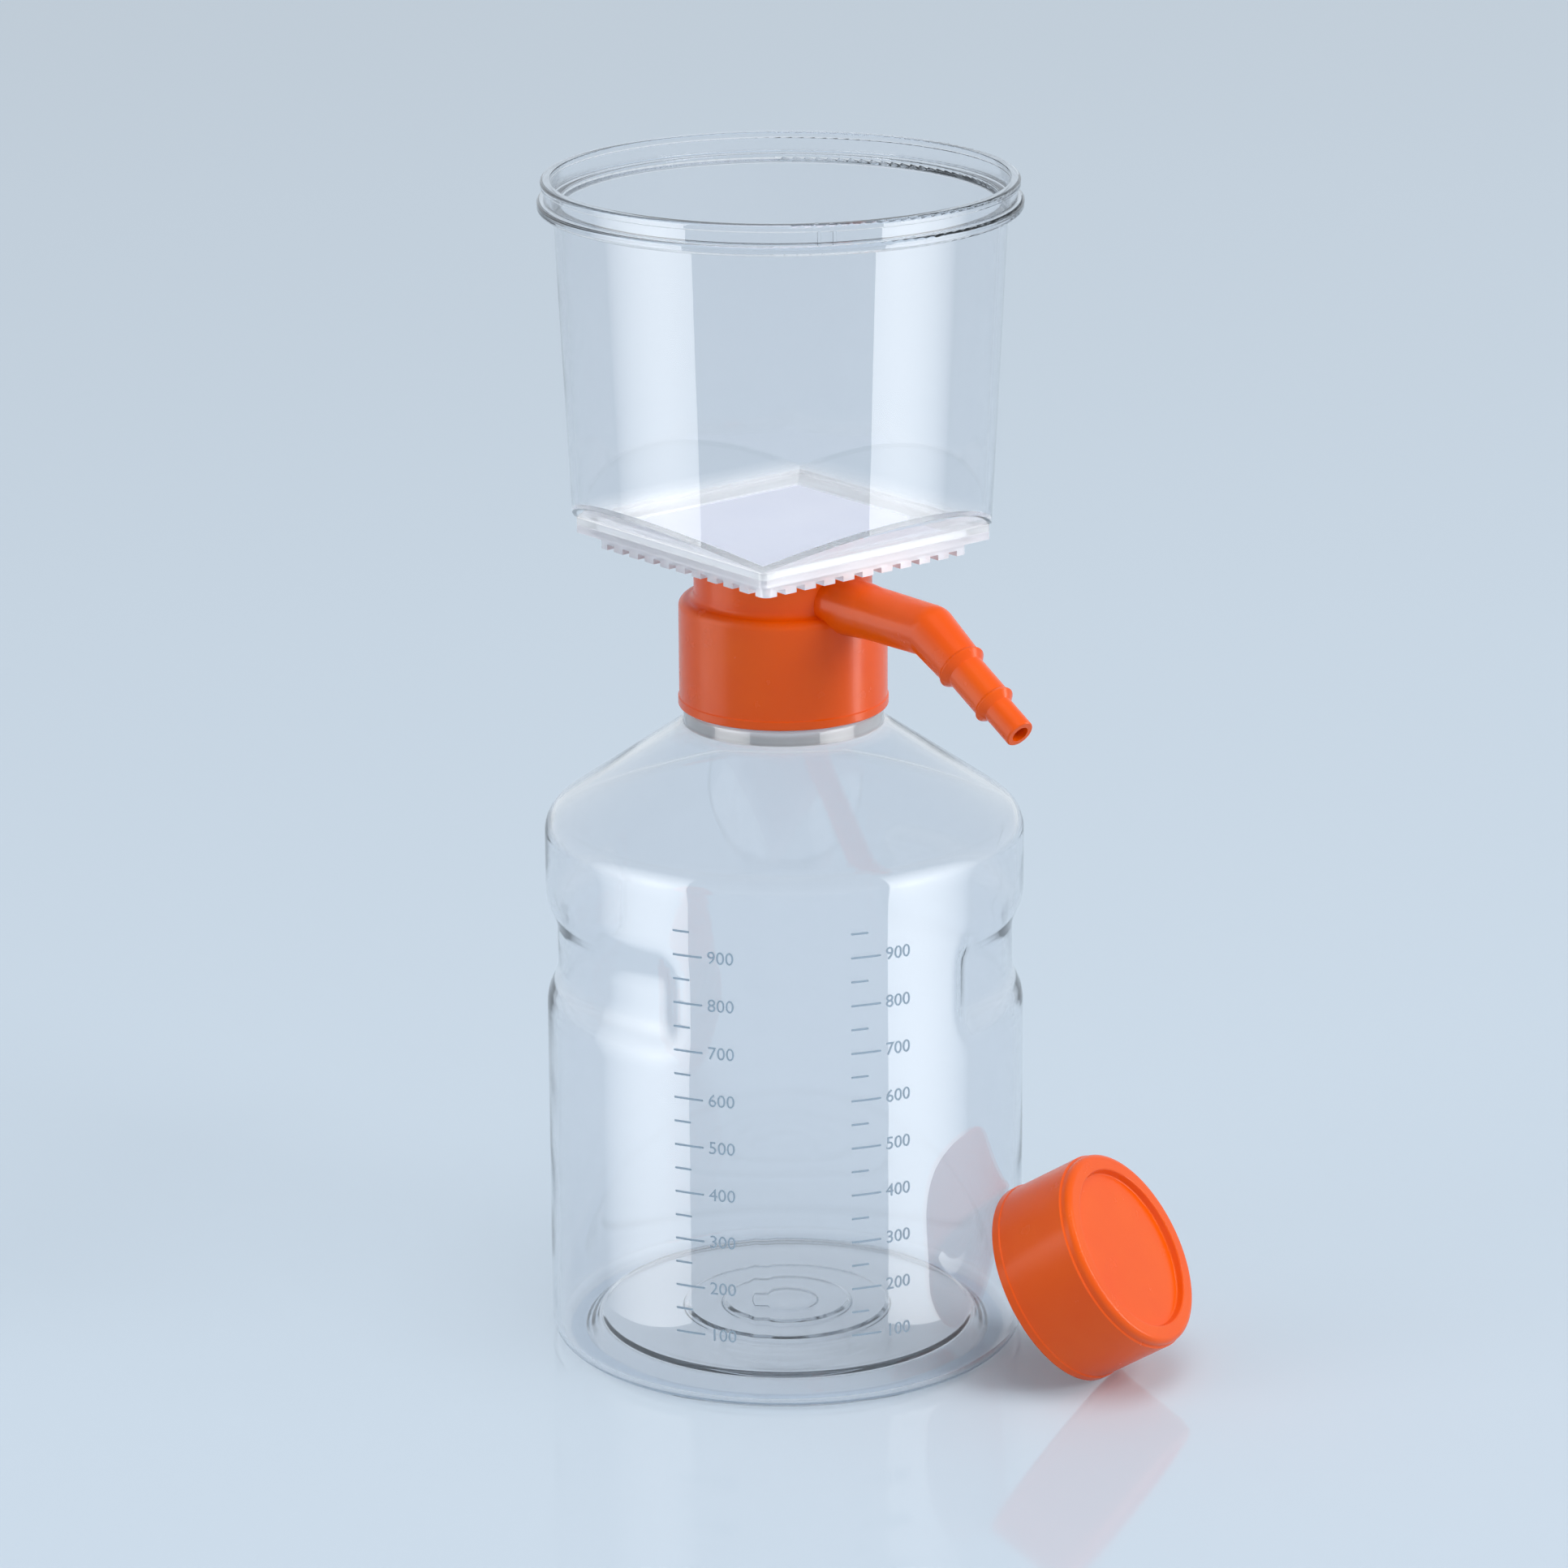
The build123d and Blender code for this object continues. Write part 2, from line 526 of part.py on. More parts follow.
def leaning_place():
    """Place of the storage cap, its open edge on the floor and against the bottle."""
    lean = radians(LEAN_ELEVATION)
    out = BODY_R + LEAN_GAP + RIM_BAND_R * sin(lean)
    up = LEAN_GAP + RIM_BAND_R * cos(lean)
    return Rot(0, 0, LEAN_AZIMUTH) * Pos(out, 0, up) * Rot(0, 90 - LEAN_ELEVATION, 0)


def storage_cap():
    """Orange screw cap for the filled bottle, with a plug seal inside."""
    shoulder_z = CAP_H - CAP_SHOULDER_H
    panel_z = CAP_H - CAP_RECESS_DEPTH
    roof_z = panel_z - CAP_TOP_T
    top_r = SKIRT_R - CAP_SHOULDER_STEP
    dish_r = top_r - CAP_RIM_W
    cap = revolved([
        (0, 0, 0),
        (RIM_BAND_R, 0, EDGE),
        (RIM_BAND_R, RIM_BAND_H, 0),
        (SKIRT_R, RIM_BAND_H + RIM_BAND_STEP, 0),
        (SKIRT_R, shoulder_z, 0),
        (top_r, shoulder_z + CAP_SHOULDER_SLOPE, 0),
        (top_r, CAP_H, CAP_EDGE),
        (dish_r + CAP_RECESS_DRAFT, CAP_H, EDGE),
        (dish_r, panel_z, EDGE),
        (0, panel_z, 0),
    ])
    cap -= round_bar(SKIRT_BORE_R, roof_z)
    seal_r = NECK_BORE_R - SEAL_CLEAR
    cap += tube(seal_r, seal_r - SEAL_WALL, roof_z - SEAL_H, roof_z)
    cap += Pos(0, 0, roof_z - LIP_Z) * inner_thread()
    return leaning_place() * cap


def export(node, shape):
    """Write one node of the unit to its own file."""
    export_step(shape, os.path.join("parts", node + ".step"))


export("receiver_bottle", receiver_bottle())
export("neck_gasket", neck_gasket())
export("bottle_adapter", bottle_adapter())
export("vacuum_plug", vacuum_plug())
export("base_plate", base_plate())
export("filter_membrane", filter_membrane())
export("funnel", funnel())
export("storage_cap", storage_cap())
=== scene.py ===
"""Bottle-top vacuum filtration unit: clear funnel, orange adapter, clear receiver bottle, loose cap."""

from math import atan2, ceil, cos, degrees, hypot, pi, radians, sin, tan

import bmesh
import bpy
from mathutils import Matrix, Vector


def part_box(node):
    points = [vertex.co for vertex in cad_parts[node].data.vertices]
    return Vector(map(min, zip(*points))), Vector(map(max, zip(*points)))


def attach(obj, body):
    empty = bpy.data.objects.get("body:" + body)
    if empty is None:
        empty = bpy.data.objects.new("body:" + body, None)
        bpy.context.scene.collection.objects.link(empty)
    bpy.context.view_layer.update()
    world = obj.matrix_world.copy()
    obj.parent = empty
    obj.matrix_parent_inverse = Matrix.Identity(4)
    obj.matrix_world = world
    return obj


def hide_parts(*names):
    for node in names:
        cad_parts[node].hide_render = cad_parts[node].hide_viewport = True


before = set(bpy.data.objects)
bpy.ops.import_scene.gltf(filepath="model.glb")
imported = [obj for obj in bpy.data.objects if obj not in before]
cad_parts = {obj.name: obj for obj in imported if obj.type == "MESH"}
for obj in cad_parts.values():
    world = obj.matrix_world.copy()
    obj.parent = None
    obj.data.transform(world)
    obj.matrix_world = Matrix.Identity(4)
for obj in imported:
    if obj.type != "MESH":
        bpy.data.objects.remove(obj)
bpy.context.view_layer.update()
scene = bpy.context.scene

# ---- Receiver bottle ----------------------------------------------------------------------
# One-litre bottle of clear polystyrene, injection blow moulded: an even wall, a pushed-up base
# with stepped rings, two finger grips, a straight shoulder and a neck with a screw thread.
# The tool's two halves leave a faint seam down the front and the back.
MM = 0.001
WALL = 1.8
BODY_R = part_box("receiver_bottle")[1][0] / MM
LIP_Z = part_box("receiver_bottle")[1][2] / MM
BODY_H = 125.7
SHOULDER = radians(35.0)
NECK_R = 20.6
NECK_BORE_R = 17.8
NECK_RING_R = 22.9
NECK_RING_H = 3.4
FOOT_RING_R = 46.4
BASE_RISE = 3.4
BASE_STEP = 0.5
GRIP_LOW, GRIP_HIGH = 82.5, 107.5
GRIP_EDGE = 0.7        # past both ends, where the rounding starts
GRIP_DEPTH = 2.6
GRIP_AZIMUTH = 10.0
GRIP_HALF = 54.0       # half its length round the wall
GRIP_CORNER = 8.0
THREAD_TOP_GAP = 3.0   # end of the thread to the lip
THREAD_LEAD = 6.0
THREAD_TURNS = 1.5
THREAD_DEPTH = 1.4
THREAD_ROOT = 2.6
THREAD_CREST = 1.2
THREAD_FADE = 18.0     # degrees in which an end fades out
SEAM_AZIMUTH = 84.0
SEAM_H = 0.12
TURN_STEPS = 240

ring_z = BODY_H + (BODY_R - NECK_RING_R) * tan(SHOULDER)
neck_z = ring_z + NECK_RING_H
inner_body_h = BODY_H - WALL / cos(SHOULDER) + WALL * tan(SHOULDER)
throat_z = inner_body_h + (BODY_R - WALL - NECK_BORE_R) * tan(SHOULDER)
thread_z = LIP_Z - THREAD_TOP_GAP - THREAD_TURNS * THREAD_LEAD


def eased(share):
    """Smooth rise from 0 to 1 as share goes from 0 to 1."""
    share = min(max(share, 0.0), 1.0)
    return share * share * (3 - 2 * share)


def turned(corners, spacing):
    """Closed shape turned about Z from (radius, height, rounding) corners in millimetres.

    spacing(radius, height) is the longest edge wanted there along the section.
    """
    shape = bmesh.new()
    chain = [shape.verts.new((r * MM, 0, z * MM)) for r, z, rounding in corners]
    for first, second in zip(chain, chain[1:]):
        shape.edges.new((first, second))
    for place in range(1, len(corners) - 1):
        rounding = corners[place][2]
        if rounding > 0:
            before, here, after = (Vector(c[:2]) for c in corners[place - 1:place + 2])
            tangent = rounding / tan((before - here).angle(after - here) / 2)
            bmesh.ops.bevel(
                shape, geom=[chain[place]], offset=tangent * MM, offset_type="OFFSET",
                affect="VERTICES", segments=5, profile=0.5, material=-1,
            )
    for edge in list(shape.edges):
        middle = (edge.verts[0].co + edge.verts[1].co) / 2 / MM
        cuts = ceil(edge.calc_length() / MM / spacing(middle.x, middle.z)) - 1
        if cuts > 0:
            bmesh.ops.subdivide_edges(shape, edges=[edge], cuts=cuts)
    bmesh.ops.spin(
        shape, geom=shape.verts[:] + shape.edges[:], cent=(0, 0, 0), axis=(0, 0, 1),
        angle=2 * pi, steps=TURN_STEPS, use_merge=True,
    )
    bmesh.ops.remove_doubles(shape, verts=shape.verts, dist=1e-7)
    bmesh.ops.recalc_face_normals(shape, faces=shape.faces)
    return shape


def thread_rise(azimuth, height):
    """How high the neck's thread, which fades out at both ends, stands at a place on its wall."""
    flank = (THREAD_ROOT - THREAD_CREST) / 2
    rise = 0.0
    for turn in range(-1, ceil(THREAD_TURNS) + 1):
        along = azimuth + 360 * turn
        from_end = min(along, 360 * THREAD_TURNS - along)
        fade = min(1 + from_end / THREAD_FADE, 1.0)
        off = abs(height - thread_z - THREAD_LEAD * along / 360)
        if fade > 0:
            share = min(max((THREAD_ROOT / 2 - off) / flank, 0.0), 1.0)
            rise = max(rise, THREAD_DEPTH * fade * share)
    return rise


def grip_share(across, up):
    """Share of its full depth that a grip has at a place, in millimetres from its middle."""
    half_up = (GRIP_HIGH - GRIP_LOW) / 2 + GRIP_EDGE
    beyond_across = max(across - (GRIP_HALF - GRIP_CORNER), 0.0)
    beyond_up = max(abs(up) - (half_up - GRIP_CORNER), 0.0)
    inside = GRIP_CORNER - hypot(beyond_across, beyond_up)
    return eased(inside / GRIP_CORNER)


def finished(shape, name, material, sharp=35.0):
    """Object from a shape, with smooth faces and edges sharper than an angle kept crisp."""
    for face in shape.faces:
        face.smooth = True
    for edge in shape.edges:
        edge.smooth = len(edge.link_faces) != 2 or edge.calc_face_angle(0.0) < radians(sharp)
    mesh = bpy.data.meshes.new(name)
    shape.to_mesh(mesh)
    shape.free()
    mesh.materials.append(material)
    piece = bpy.data.objects.new(name, mesh)
    scene.collection.objects.link(piece)
    return piece


def linear(code):
    """Linear RGBA of an sRGB hex colour."""
    parts = [int(code[i:i + 2], 16) / 255 for i in (1, 3, 5)]
    return [p / 12.92 if p <= 0.04045 else ((p + 0.055) / 1.055) ** 2.4 for p in parts] + [1.0]


def new_material(name):
    """Material with an empty node tree, that tree and its output node."""
    made = bpy.data.materials.new(name)
    made.use_nodes = True
    made.node_tree.nodes.clear()
    return made, made.node_tree, made.node_tree.nodes.new("ShaderNodeOutputMaterial")


def in_use(sockets, name):
    """The socket of that name that is in use: a node may have one for each kind of data."""
    return next(socket for socket in sockets if socket.enabled and socket.name == name)


def add_node(tree, kind, settings=None, **inputs):
    """Node of a kind with its settings, and its inputs set to values or linked to sockets."""
    made = tree.nodes.new(kind)
    for name, value in (settings or {}).items():
        setattr(made, name, value)
    for name, value in inputs.items():
        socket = in_use(made.inputs, name.replace("_", " "))
        if isinstance(value, bpy.types.NodeSocket):
            tree.links.new(value, socket)
        else:
            socket.default_value = value
    return made


# Clear polystyrene from a polished tool: crisp reflections, slightly wavy as the wall cooled
# (waves about 25 mm apart), with a breath of haze from handling. The thick neck is milkier.
# The plastic is faintly grey-blue in its depth, which shows where the eye looks along a wall.
DEPTH_COLOUR = "#8C9BA8"
DEPTH_DENSITY = 25.0
MILKY_FROM, MILKY_TO = 146.0, 149.0   # heights between which the neck turns milky

polystyrene, tree, output = new_material("blown_clear_polystyrene")
where = add_node(tree, "ShaderNodeTexCoord").outputs["Object"]
waves = add_node(tree, "ShaderNodeTexNoise", Vector=where, Scale=1 / (25 * MM), Detail=1.0)
haze = add_node(tree, "ShaderNodeTexNoise", Vector=where, Scale=1 / (40 * MM), Detail=4.0)
rough = add_node(
    tree, "ShaderNodeMapRange", Value=haze.outputs["Fac"],
    From_Min=0.35, From_Max=0.75, To_Min=0.015, To_Max=0.05,
)
relief = add_node(
    tree, "ShaderNodeBump", Height=waves.outputs["Fac"], Strength=1.0, Distance=0.12 * MM,
)
up = add_node(tree, "ShaderNodeSeparateXYZ", Vector=where).outputs["Z"]
clear = add_node(
    tree, "ShaderNodeMapRange", Value=up,
    From_Min=MILKY_FROM * MM, From_Max=MILKY_TO * MM, To_Min=1.0, To_Max=0.6,
)
shader = add_node(
    tree, "ShaderNodeBsdfPrincipled", Base_Color=linear("#FEFEFF"), IOR=1.59,
    Transmission_Weight=clear.outputs["Result"], Roughness=rough.outputs["Result"],
    Normal=relief.outputs["Normal"],
)
tree.links.new(shader.outputs["BSDF"], output.inputs["Surface"])
depth = add_node(
    tree, "ShaderNodeVolumeAbsorption", Color=linear(DEPTH_COLOUR), Density=DEPTH_DENSITY,
)
tree.links.new(depth.outputs["Volume"], output.inputs["Volume"])

bottle_shape = turned(
    [
        # underside, stepped up to its middle in three rings
        (0, BASE_RISE + 3 * BASE_STEP, 0),
        (7, BASE_RISE + 3 * BASE_STEP, 0.2), (7.3, BASE_RISE + 2 * BASE_STEP, 0.2),
        (15, BASE_RISE + 2 * BASE_STEP, 0.2), (15.3, BASE_RISE + BASE_STEP, 0.2),
        (24, BASE_RISE + BASE_STEP, 0.2), (24.3, BASE_RISE, 0.2),
        (FOOT_RING_R - BASE_RISE, BASE_RISE, 1.5), (FOOT_RING_R, 0, 0.7),
        # outside, from the foot to the lip
        (BODY_R, 0, 4.2), (BODY_R, BODY_H, 6.0),
        (NECK_RING_R, ring_z, 0.5), (NECK_RING_R, neck_z, 0.7), (NECK_R, neck_z, 0.4),
        (NECK_R, LIP_Z, 0.8), (NECK_BORE_R, LIP_Z, 0.5),
        # inside, back down to the middle of the base
        (NECK_BORE_R, throat_z, 2.0), (BODY_R - WALL, inner_body_h, 4.2),
        (BODY_R - WALL, WALL, 2.4), (FOOT_RING_R + WALL / 2, WALL, 0.7),
        (FOOT_RING_R - BASE_RISE, BASE_RISE + WALL, 1.5),
        (24, BASE_RISE + WALL + 0.6, 0.4), (23, BASE_RISE + WALL + 1.0, 0.4),
        (15, BASE_RISE + WALL + 1.1, 0.4), (14, BASE_RISE + WALL + 1.5, 0.4),
        (0, BASE_RISE + WALL + 1.6, 0),
    ],
    lambda radius, height: 0.4 if abs(radius - NECK_R) < 0.1 else 2.3,
)
for vert in bottle_shape.verts:
    radius = hypot(vert.co.x, vert.co.y) / MM
    height = vert.co.z / MM
    azimuth = degrees(atan2(vert.co.y, vert.co.x)) % 360
    shift = 0.0
    if radius > BODY_R - WALL - 0.1 and GRIP_LOW - 1 < height < GRIP_HIGH + 1:
        off = min(abs((azimuth - GRIP_AZIMUTH - side + 180) % 360 - 180) for side in (0, 180))
        above = height - (GRIP_LOW + GRIP_HIGH) / 2
        shift = -GRIP_DEPTH * grip_share(radians(off) * BODY_R, above)
    elif abs(radius - NECK_R) < 0.05 and height > neck_z + 1:
        shift = thread_rise(azimuth, height)
    from_seam = min(abs(azimuth - SEAM_AZIMUTH - side) for side in (0, 180))
    if radius > BODY_R - 0.1 and from_seam < 0.5:
        shift += SEAM_H
    if shift:
        grown = 1 + shift / radius
        vert.co.x *= grown
        vert.co.y *= grown
bottle = finished(bottle_shape, "blown_bottle", polystyrene)
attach(bottle, "bottle")
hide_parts("receiver_bottle")

# ---- Graduations --------------------------------------------------------------------------
# Raised marks and numbers on the bottle's front, moulded with it from finely etched cavities,
# so they are the same polystyrene with a frosted face. One mark for every 50 ml, one number
# for every 100 ml, in two columns.
MARK_RISE = 0.12
MARK_ROOT = 0.03               # how deep a mark starts inside the wall
MARK_WIDTH = 0.45
LONG_MARK, SHORT_MARK = 7.0, 4.0
NUMBER_SIZE = 4.2
COLUMNS = (-117.0, -74.5)      # azimuths of the marks' left ends
NUMBER_TURN = 8.5              # from there to the left end of a number
BORE_AREA = pi * (BODY_R - WALL) ** 2
EMPTY_Z = BASE_RISE + WALL + 1.5

frosted, tree, output = new_material("etched_clear_polystyrene")
where = add_node(tree, "ShaderNodeTexCoord").outputs["Object"]
etching = add_node(tree, "ShaderNodeTexNoise", Vector=where, Scale=1 / (0.4 * MM), Detail=2.0)
relief = add_node(
    tree, "ShaderNodeBump", Height=etching.outputs["Fac"], Strength=1.0, Distance=0.02 * MM,
)
shader = add_node(
    tree, "ShaderNodeBsdfPrincipled", Base_Color=linear("#C9DCEB"), IOR=1.59, Transmission_Weight=0.6,
    Roughness=0.45, Normal=relief.outputs["Normal"],
)
tree.links.new(shader.outputs["BSDF"], output.inputs["Surface"])


def wrapped(shape, azimuth, height):
    """Bends a flat shape, drawn in X and Y, round the bottle's wall at a place on it."""
    for vert in shape.verts:
        angle = radians(azimuth) + vert.co.x / (BODY_R * MM)
        reach = BODY_R * MM + vert.co.z
        vert.co = (reach * cos(angle), reach * sin(angle), height * MM + vert.co.y)


marks = bmesh.new()


def add_mark(azimuth, height, length):
    """One raised line, rooted in the wall, its left end at an azimuth."""
    mark = bmesh.new()
    bmesh.ops.create_grid(mark, x_segments=6, y_segments=1, size=0.5)
    bmesh.ops.scale(mark, vec=(length * MM, MARK_WIDTH * MM, 1), verts=mark.verts)
    bmesh.ops.translate(mark, vec=(length * MM / 2, 0, -MARK_ROOT * MM), verts=mark.verts)
    raised = bmesh.ops.extrude_face_region(mark, geom=mark.faces[:])["geom"]
    top = [g for g in raised if isinstance(g, bmesh.types.BMVert)]
    bmesh.ops.translate(mark, vec=(0, 0, (MARK_RISE + MARK_ROOT) * MM), verts=top)
    bmesh.ops.recalc_face_normals(mark, faces=mark.faces)
    wrapped(mark, azimuth, height)
    part = bpy.data.meshes.new("mark")
    mark.to_mesh(part)
    mark.free()
    marks.from_mesh(part)
    bpy.data.meshes.remove(part)


def add_number(text, azimuth, height):
    """Raised number, rooted in the wall, centred in height, its left end at an azimuth."""
    curve = bpy.data.curves.new("number", "FONT")
    curve.body = text
    curve.size = NUMBER_SIZE * MM
    curve.extrude = (MARK_RISE + MARK_ROOT) / 2 * MM
    curve.align_y = "CENTER"
    curve.resolution_u = 3
    written = bpy.data.objects.new("number", curve)
    scene.collection.objects.link(written)
    evaluated = written.evaluated_get(bpy.context.evaluated_depsgraph_get())
    part = bpy.data.meshes.new_from_object(evaluated)
    number = bmesh.new()
    number.from_mesh(part)
    bmesh.ops.remove_doubles(number, verts=number.verts, dist=1e-7)
    bmesh.ops.translate(number, vec=(0, 0, (MARK_RISE - MARK_ROOT) / 2 * MM), verts=number.verts)
    wrapped(number, azimuth, height)
    number.to_mesh(part)
    number.free()
    marks.from_mesh(part)
    bpy.data.meshes.remove(part)
    bpy.data.objects.remove(written)
    bpy.data.curves.remove(curve)


for column in COLUMNS:
    for millilitres in range(100, 1000, 50):
        level = EMPTY_Z + millilitres * 1000 / BORE_AREA
        if millilitres % 100:
            add_mark(column, level, SHORT_MARK)
        else:
            add_mark(column, level, LONG_MARK)
            add_number(str(millilitres), column + NUMBER_TURN, level)
graduations = finished(marks, "graduations", frosted, sharp=30.0)
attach(graduations, "bottle")

# ---- Neck gasket --------------------------------------------------------------------------
# Flat ring of soft pale elastomer, punched from sheet, held between the bottle's lip and the
# adapter. It rises with the adapter as that is unscrewed.
elastomer, tree, output = new_material("pale_soft_elastomer")
where = add_node(tree, "ShaderNodeTexCoord").outputs["Object"]
bloom = add_node(tree, "ShaderNodeTexNoise", Vector=where, Scale=1 / (2.5 * MM), Detail=4.0)
tone = add_node(
    tree, "ShaderNodeMix", {"data_type": "RGBA"}, Factor=bloom.outputs["Fac"],
    A=linear("#D6D2C6"), B=linear("#E6E3DA"),
)
shader = add_node(
    tree, "ShaderNodeBsdfPrincipled", Base_Color=in_use(tone.outputs, "Result"), IOR=1.43,
    Roughness=0.6,
)
tree.links.new(shader.outputs["BSDF"], output.inputs["Surface"])


def finish_node(node, material):
    """Gives a CAD node its material."""
    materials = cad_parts[node].data.materials
    materials.clear()
    materials.append(material)


finish_node("neck_gasket", elastomer)

# ---- Bottle adapter -----------------------------------------------------------------------
# Screw adapter with its hose arm, injection moulded in one shot of orange polyethylene: satin
# gloss, softly rounded edges and a very fine orange peel from the tool.
polyethylene, tree, output = new_material("moulded_orange_polyethylene")
where = add_node(tree, "ShaderNodeTexCoord").outputs["Object"]
flow = add_node(tree, "ShaderNodeTexNoise", Vector=where, Scale=1 / (18 * MM), Detail=3.0)
tone = add_node(
    tree, "ShaderNodeMix", {"data_type": "RGBA"}, Factor=flow.outputs["Fac"],
    A=linear("#F05000"), B=linear("#F86202"),
)
peel = add_node(tree, "ShaderNodeTexNoise", Vector=where, Scale=1 / (0.6 * MM), Detail=2.0)
scuffs = add_node(tree, "ShaderNodeTexNoise", Vector=where, Scale=1 / (6 * MM), Detail=5.0)
rough = add_node(tree, "ShaderNodeMapRange", Value=scuffs.outputs["Fac"], To_Min=0.18, To_Max=0.32)
relief = add_node(
    tree, "ShaderNodeBump", Height=peel.outputs["Fac"], Strength=0.5, Distance=0.006 * MM,
)
shader = add_node(
    tree, "ShaderNodeBsdfPrincipled", Base_Color=in_use(tone.outputs, "Result"), IOR=1.53,
    Specular_IOR_Level=0.3, Roughness=rough.outputs["Result"], Normal=relief.outputs["Normal"],
)
tree.links.new(shader.outputs["BSDF"], output.inputs["Surface"])
finish_node("bottle_adapter", polyethylene)

# ---- Vacuum plug --------------------------------------------------------------------------
# Plug of pressed white fibre in the arm's bore, which keeps mist out of the vacuum line.
# The fibres are drawn about 0.2 mm thick, coarser than they are, so that they show.
fibre, tree, output = new_material("pressed_white_fibre")
where = add_node(tree, "ShaderNodeTexCoord").outputs["Object"]
strands = add_node(
    tree, "ShaderNodeTexNoise", Vector=where, Scale=1 / (0.4 * MM), Detail=6.0, Roughness=0.7,
)
relief = add_node(
    tree, "ShaderNodeBump", Height=strands.outputs["Fac"], Strength=1.0, Distance=0.15 * MM,
)
shader = add_node(
    tree, "ShaderNodeBsdfPrincipled", Base_Color=linear("#EDEDEA"), Roughness=0.95,
    Normal=relief.outputs["Normal"],
)
tree.links.new(shader.outputs["BSDF"], output.inputs["Surface"])
finish_node("vacuum_plug", fibre)

# ---- Storage cap --------------------------------------------------------------------------
# Loose screw cap that closes the bottle once the filter is off, moulded of the adapter's orange
# polyethylene. Until then it leans against the bottle.
finish_node("storage_cap", polyethylene)

# ---- Funnel -------------------------------------------------------------------------------
# Upper vessel of clear polystyrene, injection moulded: round at the rim and squared off above
# its foot, so that four flats cut the wall in shallow arcs. The wall is polished, with a trace
# of flow from the gate (waves about 30 mm apart). The thick foot is milkier and less polished.
moulded, tree, output = new_material("moulded_clear_polystyrene")
where = add_node(tree, "ShaderNodeTexCoord").outputs["Object"]
waves = add_node(tree, "ShaderNodeTexNoise", Vector=where, Scale=1 / (30 * MM), Detail=1.0)
relief = add_node(
    tree, "ShaderNodeBump", Height=waves.outputs["Fac"], Strength=1.0, Distance=0.08 * MM,
)
up = add_node(tree, "ShaderNodeSeparateXYZ", Vector=where).outputs["Z"]
foot_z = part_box("funnel")[0][2]
above_foot = add_node(
    tree, "ShaderNodeMapRange", Value=up,
    From_Min=foot_z + 1.0 * MM, From_Max=foot_z + 4.0 * MM,
).outputs["Result"]
clear = add_node(tree, "ShaderNodeMapRange", Value=above_foot, To_Min=0.6, To_Max=1.0)
rough = add_node(tree, "ShaderNodeMapRange", Value=above_foot, To_Min=0.22, To_Max=0.02)
shader = add_node(
    tree, "ShaderNodeBsdfPrincipled", Base_Color=linear("#FEFEFF"), IOR=1.59,
    Transmission_Weight=clear.outputs["Result"], Roughness=rough.outputs["Result"],
    Normal=relief.outputs["Normal"],
)
tree.links.new(shader.outputs["BSDF"], output.inputs["Surface"])
depth = add_node(
    tree, "ShaderNodeVolumeAbsorption", Color=linear(DEPTH_COLOUR), Density=DEPTH_DENSITY,
)
tree.links.new(depth.outputs["Volume"], output.inputs["Volume"])
finish_node("funnel", moulded)

# ---- Base plate ---------------------------------------------------------------------------
# Square plate of natural, slightly milky polystyrene under the membrane, moulded with drain
# ribs above and scalloped ribs below. Its top is set a hair under the funnel's foot, since the
# two are welded only along a fine ridge.
WELD_GAP = 0.03

milky, tree, output = new_material("moulded_milky_polystyrene")
where = add_node(tree, "ShaderNodeTexCoord").outputs["Object"]
flow = add_node(tree, "ShaderNodeTexNoise", Vector=where, Scale=1 / (9 * MM), Detail=3.0)
tone = add_node(
    tree, "ShaderNodeMix", {"data_type": "RGBA"}, Factor=flow.outputs["Fac"],
    A=linear("#F3F1F6"), B=linear("#FBFAFC"),
)
grain = add_node(tree, "ShaderNodeTexNoise", Vector=where, Scale=1 / (3 * MM), Detail=3.0)
rough = add_node(tree, "ShaderNodeMapRange", Value=grain.outputs["Fac"], To_Min=0.14, To_Max=0.3)
shader = add_node(
    tree, "ShaderNodeBsdfPrincipled", Base_Color=in_use(tone.outputs, "Result"), IOR=1.59,
    Transmission_Weight=0.45, Roughness=rough.outputs["Result"],
)
tree.links.new(shader.outputs["BSDF"], output.inputs["Surface"])

plate_shape = bmesh.new()
plate_shape.from_mesh(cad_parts["base_plate"].data)
bmesh.ops.remove_doubles(plate_shape, verts=plate_shape.verts, dist=1e-6)
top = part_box("base_plate")[1][2]
for vert in plate_shape.verts:
    if vert.co.z > top - 0.01 * MM:
        vert.co.z -= WELD_GAP * MM
plate = finished(plate_shape, "ribbed_base_plate", milky)
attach(plate, "head")
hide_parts("base_plate")

# ---- Filter membrane ----------------------------------------------------------------------
# Square of cast white membrane, matt and even like paper, clamped at its edges. It lies on
# the plate's drain ribs, which show as the faintest waves.
FOOT_TURN = radians(-50.3)
MEMBRANE_HALF = 30.6
CELLS = 54
RIB_PITCH = 4.6
SAG = 0.04
EDGE_FLAT = 5.0                      # width in which the waves fade out to the edge
GAP_UNDER, GAP_OVER = 0.005, 0.015   # to the plate's ribs and to the funnel
low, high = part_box("filter_membrane")

